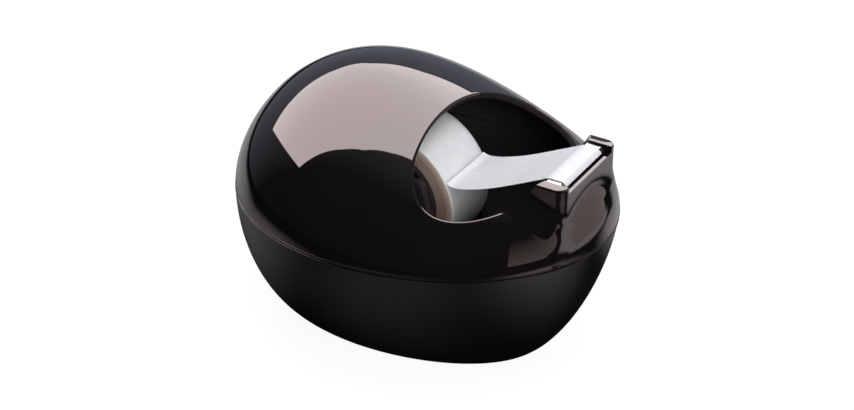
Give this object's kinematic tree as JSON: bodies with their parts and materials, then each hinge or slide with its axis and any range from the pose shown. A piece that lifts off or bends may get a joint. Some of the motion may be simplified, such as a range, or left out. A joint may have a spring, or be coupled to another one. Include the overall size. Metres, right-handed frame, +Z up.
{
  "type": "desk tape dispenser",
  "caption": "Pebble-shaped desk dispenser: weighted two-part shell with an oval mouth, a tape roll on a slotted cradle and a serrated cutter.",
  "frame": {"origin": "middle of the underside of the foot pad's bounding box, on the table", "axes": "+X towards the cutter, +Y to the left side, +Z up"},
  "size_m": [0.1041, 0.088, 0.0726],
  "materials": {
    "gloss_black_shell": "high gloss moulded black",
    "satin_black_shell": "slightly less glossy moulded black",
    "hub_plastic": "matte moulded black",
    "blade_steel": "bright nickel-plated steel with a stamped toothed fold",
    "core_card": "dark moulded core",
    "tape_wound": "frosted wound tape, pinkish at the edges of the turns",
    "tape_film": "frosted matte film with a bluish cast",
    "ballast_iron": "rough cast",
    "screw_steel": "zinc plated",
    "pad_foam": "matte non-slip foam rubber"
  },
  "bodies": {
    "housing": {"upper_shell": "gloss_black_shell", "lower_shell": "satin_black_shell", "foot_pad": "pad_foam", "ballast_weight": "ballast_iron", "roll_cradle": "hub_plastic", "cradle_screws": "screw_steel", "shell_screws": "screw_steel", "cutter_blade": "blade_steel"},
    "tape_lead": {"tape_tail": "tape_film"},
    "spool": {"roll_hub": "hub_plastic", "tape_core": "core_card", "tape_roll": "tape_wound"}
  },
  "joints": [
    {"name": "roll_lift", "type": "slide", "parent": "housing", "child": "tape_lead", "axis": [0.342, 0, 0.9397], "range_m": [0, 0.0055]},
    {"name": "roll_spin", "type": "hinge", "parent": "tape_lead", "child": "spool", "pos_m": [-0.006, 0, 0.041], "axis": [0, 1, 0], "continuous": true}
  ]
}
